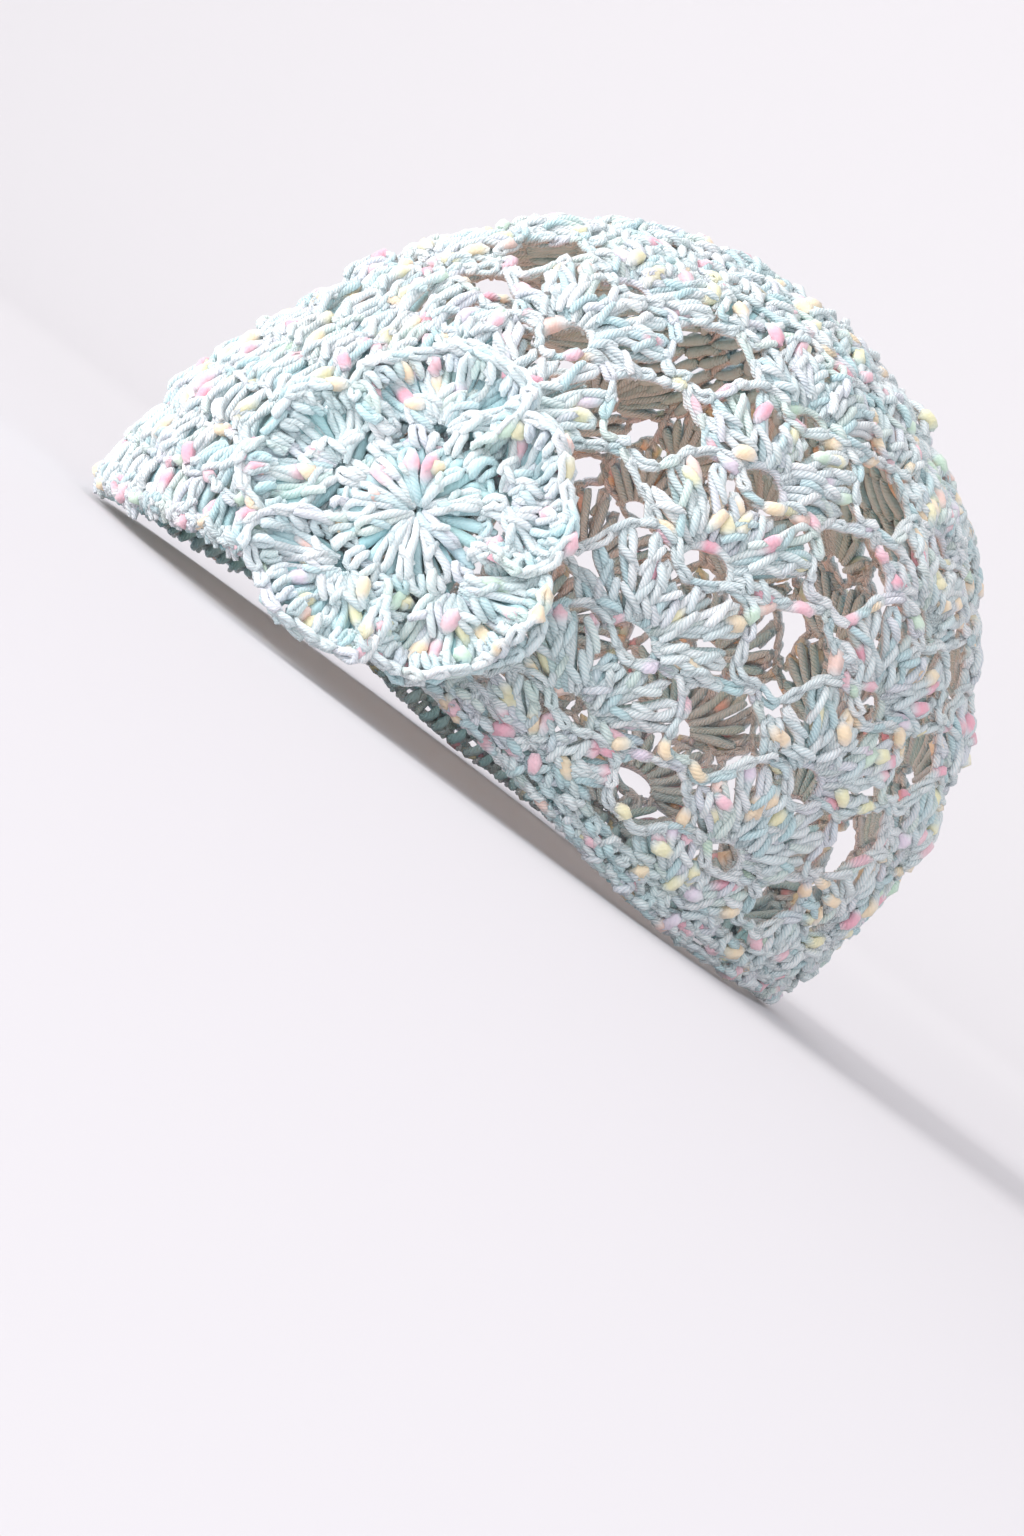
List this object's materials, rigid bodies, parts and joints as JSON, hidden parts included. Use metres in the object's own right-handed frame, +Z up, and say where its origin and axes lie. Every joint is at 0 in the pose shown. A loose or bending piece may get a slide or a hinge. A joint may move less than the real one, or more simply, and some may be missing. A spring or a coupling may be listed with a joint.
{
  "type": "crochet hat",
  "caption": "Doll-size crochet cap with lace fans and holes round the sides, a close band, a flared arched peak and a layered crochet flower at one temple.",
  "frame": {"origin": "on the surface that the rim stands on, under the middle of the hat's bounding box", "axes": "+Z up through the crown, the peak faces -Y, the flower is on the +X side of the front"},
  "size_m": [0.1218, 0.1251, 0.083],
  "materials": {
    "yarn": "matte slub cotton yarn, pale aqua with pink, peach, yellow and mint nubs",
    "flower_yarn": "matte slub cotton yarn, pale aqua, a little deeper in the folds"
  },
  "bodies": {
    "root": {"crown_top": "yarn", "lace_side": "yarn", "band": "yarn", "peak": "yarn", "flower_centre": "flower_yarn", "flower_petal_1": "flower_yarn", "flower_petal_2": "flower_yarn", "flower_petal_3": "flower_yarn", "flower_petal_4": "flower_yarn", "flower_petal_5": "flower_yarn"}
  },
  "joints": []
}
